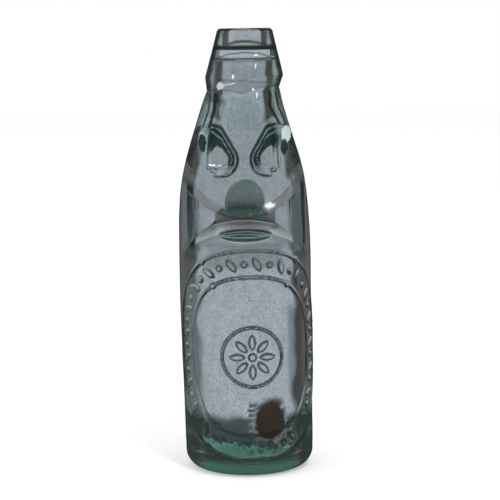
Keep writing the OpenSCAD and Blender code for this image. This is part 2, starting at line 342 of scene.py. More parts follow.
def fill(radius, height, count):
    """Points evenly along the line that each column's radius and height make, last one left out."""
    rows = []
    for r, z in zip(radius.T, height.T):
        length = np.concatenate([[0], np.cumsum(np.hypot(np.diff(r), np.diff(z)))])
        at = np.linspace(0, length[-1], count + 1)[:-1]
        rows.append([np.interp(at, length, r), np.interp(at, length, z)])
    rows = np.array(rows)
    return rows[:, 0].T, rows[:, 1].T


def soften(parts, kernel):
    """Joins stretches of columns and rounds the corners between them."""
    kernel = np.array(kernel) / sum(kernel)
    half = len(kernel) // 2
    lines = []
    for k in (0, 1):
        line = np.concatenate([part[k] for part in parts])
        padded = np.concatenate([line[:1]] * half + [line] + [line[-1:]] * half)
        soft = sum(w * padded[i : i + len(line)] for i, w in enumerate(kernel))
        lines.append(np.concatenate([line[:1], soft[1:-1], line[-1:]]))
    return list(zip(*lines))


def chamber_floor(x, r):
    """Height of the chamber's curved underside, or of its floor inside, at x."""
    return CHAMBER_FLOOR_Z + CHAMBER_FLOOR_R - np.sqrt(r * r - x * x)


def pinch_outside(angle, line):
    """Columns up over the body's round top, the pinch's face and the chamber's underside."""
    s = np.abs(np.sin(angle))
    steps = np.linspace(0, 1, 40)[:, None]
    plan = waist(angle, FACE_Y, PINCH_HALF_W)
    low = np.minimum(smooth_min(plan, BODY_R, 2.4), BODY_R)
    turn = np.arccos(low / BODY_R) * steps
    top_z = BODY_DOME_Z + BODY_DOME_H * np.sin(turn[-1])
    dome = fill(
        np.vstack([np.full((1, len(angle)), BODY_R), BODY_R * np.cos(turn)]),
        np.vstack([np.full((1, len(angle)), PINCH_LOW), BODY_DOME_Z + BODY_DOME_H * np.sin(turn)]),
        64,
    )
    high, edge = low, np.full(len(angle), CONE_R)
    for _ in range(12):
        high = smooth_min(plan, radius_at(line, chamber_floor(high * s, CHAMBER_FLOOR_R)), 2.4)
        edge = radius_at(line, chamber_floor(edge * s, CHAMBER_FLOOR_R))
    high = np.minimum(high, edge)
    z = top_z + (chamber_floor(high * s, CHAMBER_FLOOR_R) - top_z) * steps
    face = fill(np.minimum(smooth_min(plan, radius_at(line, z), 2.4), radius_at(line, z)), z, 18)
    under = high + (edge - high) * steps
    edge_z = chamber_floor(edge * s, CHAMBER_FLOOR_R) + EDGE_ROUND
    under_side = fill(
        np.vstack([under, radius_at(line, edge_z)]),
        np.vstack([chamber_floor(under * s, CHAMBER_FLOOR_R), edge_z]),
        26,
    )
    z = edge_z + (PINCH_HIGH - edge_z) * steps
    wall = fill(radius_at(line, z), z, 44)
    return soften([dome, face, under_side, wall], (1, 2, 3, 2, 1))


def trough(angle, z):
    """Radius of the round trough that the marble rests in, towards each side at height z."""
    c = np.maximum(np.abs(np.cos(angle)), 1e-3)
    s = np.abs(np.sin(angle))
    half = np.sqrt(np.clip(SEAT_R**2 - (z - MARBLE_Z) ** 2, 0, None))
    ball_end = TROUGH_HALF_L * s + np.sqrt(
        np.clip(half**2 - (TROUGH_HALF_L * c) ** 2, 0, None)
    )
    return np.where(half * s / c <= TROUGH_HALF_L, half / c, ball_end)


def floor_height(radius, s):
    """Height of the chamber's floor with the collar round the marble's seat."""
    slope = (COLLAR_TOP[1] - COLLAR_FOOT[1]) / (COLLAR_FOOT[0] - COLLAR_TOP[0])
    collar = COLLAR_TOP[1] - np.maximum(radius - COLLAR_TOP[0], 0) * slope
    return smooth_max(chamber_floor(radius * s, CHAMBER_FLOOR_R - FLOOR_WALL), collar, 0.3)


def pinch_inside(angle, line):
    """Columns down the chamber's wall, over its floor, through the slot and under the dome."""
    s = np.abs(np.sin(angle))
    steps = np.linspace(0, 1, 40)[:, None]
    body_in = BODY_R - WALL
    def wall_at(z):
        low = np.interp(z, *zip(*CHAMBER_WALL))
        return np.where(z > CHAMBER_MID_Z, radius_at(line, z), low)

    def well(z):
        slot = smooth_min(THROAT_HALF / np.maximum(np.abs(np.cos(angle)), 0.02), wall_at(z), 3.0)
        return smooth_max(np.minimum(slot, wall_at(z) - 0.2), trough(angle, z), 1.0)

    foot, edge = np.full(len(angle), 24.0), np.full(len(angle), 12.0)
    for _ in range(30):
        foot = wall_at(floor_height(foot, s))
        edge = 0.5 * edge + 0.5 * well(floor_height(edge, s))
    edge = np.minimum(edge, foot - 0.1)
    corner = np.minimum(FLOOR_FILLET, 0.8 * (foot - edge))
    foot_z = floor_height(foot, s)
    z = PINCH_HIGH + (foot_z + corner - PINCH_HIGH) * steps
    wall = fill(wall_at(z), z, 40)
    start = (wall_at(foot_z + corner), foot_z + corner)
    end = (foot - corner, floor_height(foot - corner, s))
    bend_in = [
        (1 - steps) ** 2 * a + 2 * steps * (1 - steps) * b + steps**2 * c
        for a, b, c in zip(start, (foot, foot_z), end)
    ]
    turn = fill(*bend_in, 12)
    r = end[0] + (edge - end[0]) * steps
    floor = fill(r, floor_height(r, s), 24)
    edge_z = floor_height(edge, s)
    low_slot = np.minimum(well(np.full(len(angle), BODY_DOME_Z + 10.0)), body_in - 0.2)
    ceiling_turn = np.arccos(low_slot / body_in)
    ceiling_z = BODY_DOME_Z + CEILING_H * np.sin(ceiling_turn)
    z = edge_z + (ceiling_z - edge_z) * steps
    slot = fill(np.minimum(well(z), body_in - 0.2), z, 34)
    around = ceiling_turn * (1 - steps)
    dome = fill(
        np.vstack([body_in * np.cos(around), np.full((1, len(angle)), body_in)]),
        np.vstack([
            BODY_DOME_Z + CEILING_H * np.sin(around), np.full((1, len(angle)), PINCH_LOW)
        ]),
        36,
    )
    return soften([wall, turn, floor, slot, dome], (1, 2, 1))


def lug_distance(x, z, grow):
    """How far inside a lug's outline a point of the front view is, open towards the side."""
    beside = np.abs(x - LUG_MIDDLE_X) - LUG_LOW[0]
    p = np.stack([np.where(beside > 0, beside * LUG_OPEN, beside), z - LUG_LOW[1]], -1)
    along = (LUG_HIGH - LUG_LOW) * np.array([LUG_OPEN, 1])
    length = np.linalg.norm(along)
    along = along / length
    lean = (LUG_LOW_R - LUG_HIGH_R) / length
    across = np.sqrt(np.clip((p**2).sum(-1) - (p @ along) ** 2, 0, None))
    t = np.clip((p @ along - across * lean / math.sqrt(1 - lean**2)) / length, 0, 1)
    near = np.linalg.norm(p - t[..., None] * along * length, axis=-1)
    return LUG_LOW_R + (LUG_HIGH_R - LUG_LOW_R) * t + grow - near


def lug_floor(x, z):
    """Where the flat floor that the lug's punch leaves lies along Y."""
    return -19.5 - 0.17 * (np.abs(x) - 8) + 0.32 * (z - LUG_LOW[1])


def press_lugs(points, inner):
    """Pushes the two lugs into the front of the neck."""
    x, y, z = points[..., 0], points[..., 1], points[..., 2]
    grow = 1.0 if inner else 0.0
    wall = 6.4 if inner else 4.4
    target = lug_floor(x, z) + (4.3 if inner else 0.0)
    inside = lug_distance(x, z, grow)
    share = smooth_step(inside / wall)
    front = y < 0
    depth = smooth_max(target - y, np.zeros_like(y), 0.5) * share
    points[..., 1] = np.where(front & (inside > 0), y + depth, y)
    return points


# Embossing on the front of the body, laid out as arc length across and height
PLATE_X = 2.7
PLATE_Z = 61.0
OUTER_OVAL = (45.0, 52.4, 2.4)
INNER_OVAL = (34.0, 39.5, 2.4)
RIDGE = 0.7
RIDGE_HALF_W = 0.95
EMBOSSED_TO = 116.0
LEAVES = 22
LEAF = (7.2, 3.0)
BEAD_R = 1.4
MEDAL_R = 14.7
FRAME_BEADS = (60, 120, 240, 300)


def oval_distance(u, v, oval):
    """About how far a point is outside an oval line, in millimetres."""
    a, b, p = oval
    ua, vb = np.abs(u) / a, np.abs(v) / b
    f = (ua**p + vb**p) ** (1 / p)
    f = np.maximum(f, 1e-6)
    gu = ua ** (p - 1) / a * f ** (1 - p)
    gv = vb ** (p - 1) / b * f ** (1 - p)
    return (f - 1) / np.maximum(np.hypot(gu, gv), 1e-6)


def oval_points(oval, count):
    """Points evenly spread along an oval, with the direction of each."""
    a, b, p = oval
    t = np.linspace(0, 2 * math.pi, 2001)
    u = a * np.sign(np.cos(t)) * np.abs(np.cos(t)) ** (2 / p)
    v = b * np.sign(np.sin(t)) * np.abs(np.sin(t)) ** (2 / p)
    length = np.concatenate([[0], np.cumsum(np.hypot(np.diff(u), np.diff(v)))])
    at = (np.arange(count) + 0.5) * length[-1] / count
    pu, pv = np.interp(at, length, u), np.interp(at, length, v)
    step = 0.5
    du = np.interp(at + step, length, u) - np.interp(at - step, length, u)
    dv = np.interp(at + step, length, v) - np.interp(at - step, length, v)
    return pu, pv, np.arctan2(dv, du)


def ridge(distance, half_width):
    """Height of a rounded ridge at a distance from its middle line, from 0 to 1."""
    return smooth_step(1 - np.abs(distance) / half_width)


def plateau(distance, edge=0.5):
    """1 inside a shape, falling to 0 over its edge."""
    return smooth_step(0.5 - distance / edge)


def leaf(u, v, length, width):
    """Distance outside a pointed leaf that lies along u."""
    r = (length**2 + width**2) / (4 * width)
    return np.maximum(
        np.hypot(u, v - (width / 2 - r)) - r, np.hypot(u, v + (width / 2 - r)) - r
    )


def petals(u, v, count, inner_r, outer_r, width):
    """Distance outside a ring of petals."""
    angle = np.arctan2(v, u)
    sector = 2 * math.pi / count
    angle = (angle + sector / 2) % sector - sector / 2
    r = np.hypot(u, v)
    return leaf(
        r * np.cos(angle) - (inner_r + outer_r) / 2,
        r * np.sin(angle),
        outer_r - inner_r,
        width,
    )


def embossing(across, height):
    """Height of the embossed plate over the glass, in millimetres."""
    u = across - PLATE_X
    v = height - PLATE_Z
    h = np.zeros(np.broadcast(u, v).shape)
    for oval in (OUTER_OVAL, INNER_OVAL):
        h = np.maximum(h, RIDGE * ridge(oval_distance(u, v, oval), RIDGE_HALF_W))
        a, b, p = oval
        for t in np.radians(FRAME_BEADS):
            bu = a * np.sign(np.cos(t)) * abs(math.cos(t)) ** (2 / p)
            bv = b * np.sign(np.sin(t)) * abs(math.sin(t)) ** (2 / p)
            h = np.maximum(h, RIDGE * plateau(np.hypot(u - bu, v - bv) - BEAD_R, 0.8))
    middle = tuple((o + i) / 2 for o, i in zip(OUTER_OVAL, INNER_OVAL))
    for k, (pu, pv, turn) in enumerate(zip(*oval_points(middle, 2 * LEAVES))):
        du, dv = u - pu, v - pv
        near = np.hypot(du, dv) < 6
        if not near.any():
            continue
        along = du * math.cos(turn) + dv * math.sin(turn)
        out = dv * math.cos(turn) - du * math.sin(turn)
        if k % 2:
            shape = np.hypot(along, out) - BEAD_R
        else:
            lean = math.radians(120)
            shape = leaf(
                along * math.cos(lean) + out * math.sin(lean),
                out * math.cos(lean) - along * math.sin(lean),
                *LEAF,
            )
        h = np.where(near, np.maximum(h, RIDGE * plateau(shape, 0.8)), h)
    # The flower in its round frame is flat to the front, not wrapped round the body
    x = BODY_R * np.sin(u / BODY_R)
    shape = petals(x, v, 8, MEDAL_R / 2 - LEAF[0] / 2, MEDAL_R / 2 + LEAF[0] / 2, LEAF[1])
    shape = np.minimum(shape, np.hypot(x, v) - 1.8)
    h = np.maximum(h, RIDGE * plateau(shape, 0.8))
    h = np.maximum(h, RIDGE * ridge(np.hypot(x, v) - MEDAL_R, RIDGE_HALF_W))
    return np.where(np.abs(u) < BODY_R * 1.5, h, 0)


def angles():
    """Columns round the bottle, closer together over the front."""
    dense = np.linspace(-1, 1, 200)
    front = np.radians(86) * dense
    back = np.linspace(np.radians(86), 2 * math.pi - np.radians(86), 90)[1:-1]
    return np.concatenate([front, back])


def lip_drop(angle):
    """How much lower than drawn the uneven lower edge of the lip hangs."""
    a = (angle + math.pi) % (2 * math.pi) - math.pi
    left = 2.6 * np.exp(-(((a + 0.9) / 0.75) ** 2))
    middle = 1.6 * np.exp(-(((a - 0.02) / 0.22) ** 2))
    right = -1.6 * np.exp(-(((a - 0.9) / 0.6) ** 2))
    return left + middle + right + 0.4 * np.sin(2 * a + 1)


# Slopes at which the painted shade on the embossing's sides starts and is full
FLANK_FROM = 0.12
FLANK_FULL = 0.5


def build_shell():
    """All rings of the glass, outside then inside, as an array of points."""
    angle = angles()
    around = (angle + math.pi) % (2 * math.pi) - math.pi
    rings = []
    inner_flags = []
    reliefs = []
    shades = []

    def add(profile, inner, shape=None):
        for r, z in profile:
            radius = np.broadcast_to(np.asarray(r, float), angle.shape).copy()
            height = np.broadcast_to(np.asarray(z, float), angle.shape).copy()
            if shape:
                radius, height = shape(radius, height)
            x = radius * np.sin(angle)
            y = -radius * np.cos(angle)
            ring = np.stack([x, y, height], -1)
            relief = np.zeros(len(angle))
            shade = np.zeros(len(angle))
            if height.max() > 140 and height.min() < 182:
                ring = press_lugs(ring, inner)
            if shape is body_shape and height.min() < EMBOSSED_TO:
                relief = embossing(BODY_R * around, height)
            if inner:
                shade = np.maximum(shade, lip_shade(height))
            reliefs.append(relief)
            shades.append(shade)
            rings.append(ring)
            inner_flags.append(np.full(len(angle), float(inner)))

    def wobble_out(radius, height):
        return 0.10 * ripple(angle, height, 1, 34) + 0.03 * ripple(angle, height, 2, 12)

    def wobble_in(radius, height):
        return 0.34 * ripple(angle, height, 3, 40) + 0.12 * ripple(angle, height, 4, 16)

    def foot_shape(radius, height):
        return radius, height

    def body_shape(radius, height):
        fade = smooth_step((LIP_Z - height) / 6) * smooth_step((height - HEEL_R) / 6)
        radius = radius + wobble_out(radius, height) * fade
        if height.min() < EMBOSSED_TO:
            radius = radius + embossing(BODY_R * around, height)
        drop = lip_drop(angle) * smooth_step((height - (LIP_Z - 8)) / 8)
        return radius, height - drop

    def lip_shape(radius, height):
        fade = smooth_step((LIP_Z + 14 - height) / 14)
        radius = radius + 0.10 * ripple(angle, height, 5, 20) * smooth_step(
            (HEIGHT - height) / 3
        )
        return radius, height - lip_drop(angle) * fade

    def wall_shape(radius, height):
        fade = smooth_step((LAP_Z - height) / 8) * (0.35 + 0.65 * smooth_step(
            np.abs(height - PINCH_Z) / 12
        ))
        return radius + wobble_in(radius, height) * fade, height

    def floor_shape(radius, height):
        share = radius / (FOOT_R - WALL)
        return radius, height + 0.7 * ripple(angle, height * 0 + 3.0, 6, 30) * share

    foot, body, lip = outside_rows()
    mouth, walls, floor = inside_rows()
    add(foot, False, foot_shape)
    add(body, False, body_shape)
    add(lip, False, lip_shape)
    add(mouth, True)
    add(walls, True, wall_shape)
    add(floor, True, floor_shape)
    rings = np.array(rings)
    # Painted shade on the steep sides of the embossing and on the dark ring in the mouth
    steep = np.maximum(flanks(rings, np.array(reliefs)), np.array(shades))
    return rings, np.array(inner_flags), steep


def lip_shade(height):
    """Painted shade: the dark ring in the mouth over the groove, and the dark edge of the ledge
    under it.
    """
    groove_top = RING_Z + RING_H
    over = smooth_step((height - groove_top + 0.5) / 0.4) * smooth_step(
        (groove_top + 1.5 - height) / 0.4
    )
    ledge = np.exp(-(((height - (RING_Z - 0.5)) / 0.35) ** 2))
    return np.maximum(over, 0.8 * ledge)


def flanks(rings, relief):
    """0 to 1: how steep the sides of the embossing are."""
    rise = np.gradient(relief, axis=0) / np.maximum(
        np.linalg.norm(np.gradient(rings, axis=0), axis=-1), 0.05
    )
    wrapped = np.concatenate([relief[:, -1:], relief, relief[:, :1]], 1)
    places = np.concatenate([rings[:, -1:], rings, rings[:, :1]], 1)
    turn = (wrapped[:, 2:] - wrapped[:, :-2]) / np.maximum(
        np.linalg.norm(places[:, 2:] - places[:, :-2], axis=-1), 0.05
    )
    return smooth_step((np.hypot(rise, turn) - FLANK_FROM) / (FLANK_FULL - FLANK_FROM))


def make_mesh(name, verts, faces, smooth=True):
    mesh = bpy.data.meshes.new(name)
    mesh.from_pydata(verts.tolist(), [], faces)
    mesh.update()
    if smooth:
        mesh.shade_smooth()
    obj = bpy.data.objects.new(name, mesh)
    bpy.context.scene.collection.objects.link(obj)
    return obj


def closed_rings(rings, low_pole, high_pole):
    """Faces of a stack of rings that is closed at a pole on each end."""
    rows, cols = rings.shape[:2]
    verts = np.concatenate([rings.reshape(-1, 3), [low_pole, high_pole]])
    low, high = rows * cols, rows * cols + 1
    faces = []
    for i in range(rows - 1):
        a = i * cols
        for j in range(cols):
            k = (j + 1) % cols
            faces.append((a + j, a + k, a + cols + k, a + cols + j))
    last = (rows - 1) * cols
    for j in range(cols):
        k = (j + 1) % cols
        faces.append((low, k, j))
        faces.append((high, last + j, last + k))
    return verts, faces


def thick_share(verts):
    """1 where the glass is solid behind the surface, in the lip and the lugs."""
    x, y, z = verts.T
    lip = smooth_step((z - LIP_Z + 6) / 8)
    lugs = smooth_step((lug_distance(x, z, 1.0)) / 1.0) * (y < 0) * (z > 140) * (z < 182)
    return np.maximum(lip, lugs)


def clear_share(verts):
    """1 where the painted shade of slanted glass is left off: round the lugs and over the body's
    round top.
    """
    x, y, z = verts.T
    near = smooth_step(lug_distance(x, z, 3.0) / 1.5) * smooth_step((20 - np.abs(x)) / 2)
    lugs = near * (y < 0) * (z > 140) * (z < 182)
    top = smooth_step((z - 112) / 6) * smooth_step((150 - z) / 6) * smooth_step((25 - abs(x)) / 4)
    return np.maximum(lugs, top)


# Painted light and shade, painted images of the marble, and a real stain, laid on the glass:
# colour, and how much of the glass they cover
# Painted refracted image of the marble: in its seat, and on the front with its paler flecks and its
# dark band
SEAT_MARBLE_IMAGE = (0.050, 0.105, 0.090, 0.95)
SKIRT_MARBLE_IMAGE = (0.036, 0.072, 0.062, 0.94)
SKIRT_IMAGE_LIGHT = (0.060, 0.115, 0.100, 0.94)
MARBLE_IMAGE_SHADE = (0.018, 0.042, 0.036, 0.93)
# The lens under the pinch: painted shade, with a painted highlight round it and painted light
# streaks
LENS_SHADE = (0.022, 0.055, 0.050, 0.92)
LENS_RIM_HIGHLIGHT = (0.50, 0.58, 0.58, 0.70)
LENS_STREAK_HIGHLIGHT = (0.26, 0.36, 0.34, 0.40)
GLINT = (0.95, 0.97, 1.0, 0.85)
# Painted shade: dark lines and bands, and fainter dark lines
DEEP_SHADE = (0.010, 0.017, 0.018, 0.90)
FAINT_SHADE = (0.020, 0.028, 0.028, 0.60)
# Painted shade and painted light on the lugs, and painted reflections beside them
LUG_SHADE = (0.006, 0.022, 0.016, 0.93)
LUG_PAINTED_LIGHT = (0.42, 0.50, 0.53, 0.42)
EAR_REFLECTION = (0.62, 0.76, 0.78, 0.85)
# Painted light, a painted highlight and painted shade on the lip
LIP_PAINTED_LIGHT = (0.42, 0.50, 0.54, 0.70)
LIP_HIGHLIGHT = (0.62, 0.68, 0.68, 0.80)
DRIP_SHADE = (0.12, 0.15, 0.15, 0.35)
# Painted light, a painted highlight and painted shade over the pinch, the chamber's underside and
# the sides
FROWN_PAINTED_LIGHT = (0.38, 0.45, 0.465, 0.90)
SMILE_SHADE = (0.190, 0.205, 0.225, 0.75)
SLAB_SHADE = (0.150, 0.165, 0.165, 0.88)
SIDE_SHADE = (0.115, 0.138, 0.145, 0.85)
FROWN_HIGHLIGHT = (0.95, 1.0, 1.0, 0.95)
UNDER_LENS_SHADE = (0.08, 0.09, 0.09, 0.42)
# Painted shade on the lip
LIP_BAND_SHADE = (0.08, 0.10, 0.10, 0.22)
BODY_SHADOW = (0.03, 0.04, 0.04, 0.45)
# Painted light down the left of the body
BODY_PAINTED_LIGHT = (0.22, 0.29, 0.31, 0.32)
NECK_SHADE = (0.08, 0.10, 0.10, 0.15)
# Painted highlights on the upward-facing sides of the embossing
RELIEF_HIGHLIGHT = (0.42, 0.50, 0.52, 0.60)
STAIN = (0.021, 0.015, 0.009, 0.96)
STAIN_EDGE = (0.020, 0.022, 0.018, 0.75)
BASE_GREY = (0.024, 0.040, 0.036, 0.88)
# The thick base's own teal, brightened with painted light through it
BASE_TEAL_LIGHT = (0.060, 0.190, 0.145, 0.80)
BASE_GREEN = (0.045, 0.130, 0.098, 0.85)
# Painted shade at the base's lower corners
CORNER_SHADE = (0.018, 0.032, 0.028, 0.80)

# Lines of the lip and the neck that painted shade follows, as (x, z) over the front
DRIP_EDGE = [
    (-18.7, 190.2), (-10.3, 190.4), (-5.0, 190.0), (-0.1, 188.7), (3.4, 190.5), (10.5, 192.0),
    (16.9, 192.1),
]
LIP_STEP = [(-12.6, 195.2), (0.0, 195.0), (11.8, 193.6)]
RING_ARC = [(-12.2, 206.2), (-8.0, 207.8), (0.0, 208.5), (8.0, 207.8), (12.2, 206.2)]
NECK_LINES = [
    ([(-13.2, 189.0), (-13.6, 180.9), (-16.3, 172.0)], 0.8),
    ([(-15.8, 189.0), (-16.4, 180.9), (-19.4, 172.0)], 0.4),
    ([(13.2, 190.0), (13.6, 182.0), (18.6, 173.0)], 0.8),
    ([(15.8, 190.0), (17.6, 182.0), (21.6, 173.0)], 0.5),
]


def blob(x, z, middle, half, soft):
    """1 within a round patch and 0 outside of it, with soft edges."""
    away = np.hypot((x - middle[0]) / half[0], (z - middle[1]) / half[1])
    return smooth_step((1 + soft - away) / soft)


def between(value, low, high, soft=0.4):
    return smooth_step((value - low) / soft + 0.5) * smooth_step((high - value) / soft + 0.5)


def level_line(x, z, points, half):
    """1 on a line across the front that is half as wide as given."""
    xs, zs = zip(*points)
    on = between(z - np.interp(x, xs, zs), -half, half, 0.3)
    return on * between(x, xs[0], xs[-1])


def upright_line(x, z, points, half):
    """1 on a line that runs down the front."""
    xs, zs = zip(*sorted(points, key=lambda point: point[1]))
    on = between(x - np.interp(z, zs, xs), -half, half, 0.3)
    return on * between(z, zs[0], zs[-1])


def marks(verts, inner):
    """Colour and cover at each point of the painted light, shade and images, and of the stain."""
    x, y, z = verts.T
    across = np.abs(x)
    angle = np.arctan2(x, -y)
    waver = ripple(angle, z, 11, 9)
    fine = ripple(angle, z, 12, 3.0)
    back_side = y >= 0
    outer = (1 - inner) * (1 - back_side)
    result = np.zeros((len(verts), 4))

    def lay(share, mark):
        share = np.clip(share, 0, 1)[:, None]
        result[:, :3] = result[:, :3] * (1 - share) + share * np.array(mark[:3])
        result[:, 3:] = np.maximum(result[:, 3:] * (1 - share), share * mark[3])

    shade = between(z, 105, 166, 10) * smooth_step((25 - across) / 4)
    lay(outer * shade, NECK_SHADE)

    # Painted refracted image of the marble in its seat and in front, painted light and shade over
    # the chamber's underside and the pinch, the painted lens under the pinch, and painted shade
    # down the sides
    seat = np.sqrt(x**2 + np.maximum(np.abs(y) - TROUGH_HALF_L, 0) ** 2 + (z - MARBLE_Z) ** 2)
    under = inner * (z < MARBLE_Z) * (seat < SEAT_R + 0.8)
    collar = inner * (z < COLLAR_TOP[1] + 0.5) * (z > COLLAR_FOOT[1]) * (
        np.hypot(x, y) < COLLAR_FOOT[0] + 0.3
    )
    lay(np.maximum(under * (across < 8.4), collar), SEAT_MARBLE_IMAGE)
    # Painted shade along the chamber's underside, with a thin dark line beside the marble
    smile = chamber_floor(np.clip(x, -30, 30), CHAMBER_FLOOR_R)
    lay(outer * between(z, smile - 0.6, smile + 5.6, 1.6) * (across < 24.5), SMILE_SHADE)
    thin = outer * between(z, smile - 0.3, smile + 0.1, 0.3) * (across > 11) * (across < 25)
    lay(thin, FAINT_SHADE)
    # Painted refracted image of the marble's lower part on the front: its skirt, paler flecks, dark
    # band and a dark line under it
    skirt = np.interp(z, (129.0, 129.8, 131.4, 134.0), (12.0, 12.8, 12.4, 10.1))
    top = 133.1 + 0.012 * x**2
    lay(outer * between(z, smile - 0.2, top) * between(x, -skirt - 0.8, skirt - 0.9), SKIRT_MARBLE_IMAGE)
    pale = smooth_step(0.3 + 0.5 * fine) * between(z, smile + 0.6, top - 0.8, 1.0)
    lay(outer * pale * between(x, -skirt - 0.2, skirt - 1.5, 1.0), SKIRT_IMAGE_LIGHT)
    half = np.sqrt(np.clip(MARBLE_R**2 - (z - MARBLE_Z) ** 2, 0, None))
    band_top = 136.0 - 0.012 * x**2 + 0.2 * fine
    lay(outer * between(z, top - 0.2, band_top, 2.2) * between(x + 0.5, -half, half), MARBLE_IMAGE_SHADE)
    lay(outer * between(z, smile - 0.3, smile + 0.4) * between(x, -13.4, 11.6), DEEP_SHADE)
    # Painted light and a painted highlight on the body's round top under the pinch; painted shade
    # on the pinch's face, at its ends and under the lens
    crease = BODY_DOME_Z + BODY_DOME_H * np.sqrt(
        np.clip(1 - (x**2 + FACE_Y**2) / BODY_R**2, 0, 1)
    )
    top_slope = between(z, crease - 4.2, crease + 0.1, 1.2)
    lay(outer * top_slope * (across < 27), FROWN_PAINTED_LIGHT)
    highlight_zone = outer * between(z, crease - 4.0, crease + 0.1, 0.8)
    lay(highlight_zone * smooth_step((20 - across) / 9) * 0.9, FROWN_HIGHLIGHT)
    slab = outer * between(z, crease + 0.3, smile - 0.3, 0.3)
    lay(slab * between(x, -14.4, 15.6), SLAB_SHADE)
    for end in (-14.4, 15.6):
        lay(slab * between(x, end - 0.25, end + 0.25, 0.3), FAINT_SHADE)
    lay(outer * between(z, 105, 116.5, 2) * smooth_step((22 - across) / 6), UNDER_LENS_SHADE)
    # The lens: painted shade with a painted highlight rim and painted light streaks
    long_half = np.clip(1 - ((x - 0.6) / 13.4) ** 2, 0, 1) ** 0.5
    away = np.abs(z - 119.9)
    lens = outer * (np.abs(x - 0.6) < 13.6)
    lay(lens * smooth_step((2.9 * long_half + 0.5 - away) / 0.3), LENS_RIM_HIGHLIGHT)
    lay(lens * smooth_step((2.9 * long_half - away) / 0.3), LENS_SHADE)
    for rise, sag in ((1.6, 0.010), (0.5, 0.006), (-0.9, -0.004)):
        strand = between(z, 119.8 + rise - sag * x**2, 120.1 + rise - sag * x**2, 0.3)
        lay(lens * strand * (away < 2.5 * long_half), LENS_STREAK_HIGHLIGHT)
    # Painted shade down both sides, and a painted glint beside the marble
    lay(outer * between(across, 23.8, 31.0, 0.8) * between(z, 110, 146, 6), SIDE_SHADE)
    for x0, x1 in ((-27.8, -24.4), (28.0, 30.2)):
        lay(outer * between(x, x0, x1, 0.8) * between(z, 112, 146, 6), DEEP_SHADE)
    lay(outer * blob(x + 0.5 * fine, z + 0.6 * fine, (12.7, 135.2), (2.0, 1.3), 0.5), GLINT)

    # Painted shade crescents on the flanks of the lugs with painted light lines and a painted light
    # patch in them, and painted reflections and painted shade beside them
    depth = lug_distance(x, z, 0.0)
    width = 4.6 + 1.6 * smooth_step((z - 158) / 10) - 2.6 * smooth_step((157 - z) / 6)
    reach = 15.2 + 2.8 * smooth_step((z - 152) / 9)
    band = between(depth, -0.9, width, 0.5) * smooth_step((reach - across) / 2.5)
    lugs = outer * (z > 145) * (z < 176)
    lay(lugs * band, LUG_SHADE)
    lay(lugs * band * between(depth, 0.8, 1.0, 0.3), LUG_PAINTED_LIGHT)
    inner_line = between(depth + 0.25 * waver, 2.7, 2.85, 0.25) * smooth_step((z - 153) / 4)
    lay(lugs * band * inner_line, LUG_PAINTED_LIGHT)
    low = between(depth + 0.4 * fine, 0.4, 3.4, 1.0) * smooth_step((154.5 - z) / 3)
    lay(lugs * low * smooth_step((15 - across) / 3), LUG_PAINTED_LIGHT)
    edge = 17.4 - 0.06 * (z - 152)
    lay(lugs * between(across, edge - 0.6, edge + 0.5, 0.4) * between(z, 152, 170, 2), FAINT_SHADE)
    ragged = x + 0.35 * fine
    lay(outer * blob(ragged, z, (21.4, 168.4), (2.2, 3.6), 0.3), EAR_REFLECTION)
    lay(outer * blob(ragged, z, (20.4, 162.4), (1.5, 3.2), 0.4), LUG_SHADE)
    lay(outer * blob(ragged, z, (-19.6, 166.6), (1.8, 3.2), 0.3), EAR_REFLECTION)
    lay(outer * blob(ragged, z, (-19.6, 164.8), (1.8, 4.0), 0.3), LUG_SHADE)

    # Lip and neck: painted shade lines and bands, painted light over the ring's groove, painted
    # highlights and painted glints
    lay(outer * between(z, 209.8, 211.4) * (z > LIP_Z), DEEP_SHADE)
    lay(outer * between(z, 206.0, 209.7) * between(x, -12.2, 12.4), LIP_PAINTED_LIGHT)
    lay(outer * level_line(x, z, RING_ARC, 0.25), FAINT_SHADE)
    lay(outer * between(z, 195.5, 204.5, 2) * smooth_step((13 - across) / 2), LIP_BAND_SHADE)
    lay(outer * between(z, 205.2, 205.9) * (across < 16), DEEP_SHADE)
    drip = np.interp(x, *zip(*DRIP_EDGE))
    lay(outer * between(z, drip, 195.0) * (across < 13), DRIP_SHADE)
    lay(outer * level_line(x, z, LIP_STEP, 0.3), FAINT_SHADE)
    lay(outer * level_line(x, z, DRIP_EDGE, 0.3), FAINT_SHADE)
    lay(outer * blob(x + 0.4 * fine, z + 0.4 * fine, (-11.2, 192.4), (1.6, 1.5), 0.5), LIP_HIGHLIGHT)
    lay(outer * level_line(x, z + 0.3 * fine, [(-10, 192.8), (-4.2, 193.6)], 0.35), LIP_HIGHLIGHT)
    for points, half in NECK_LINES:
        lay(outer * upright_line(x, z, points, half), DEEP_SHADE)
    for spot, half in (
        ((4.9, 190.6), (0.5, 0.7)),
        ((6.9, 187.9), (0.35, 1.4)),
        ((5.4, 202.0), (0.3, 1.2)),
        ((-5.4, 197.0), (0.45, 0.9)),
        ((5.6, 207.2), (0.9, 0.5)),
    ):
        lay(outer * blob(x, z, spot, half, 0.5), GLINT)

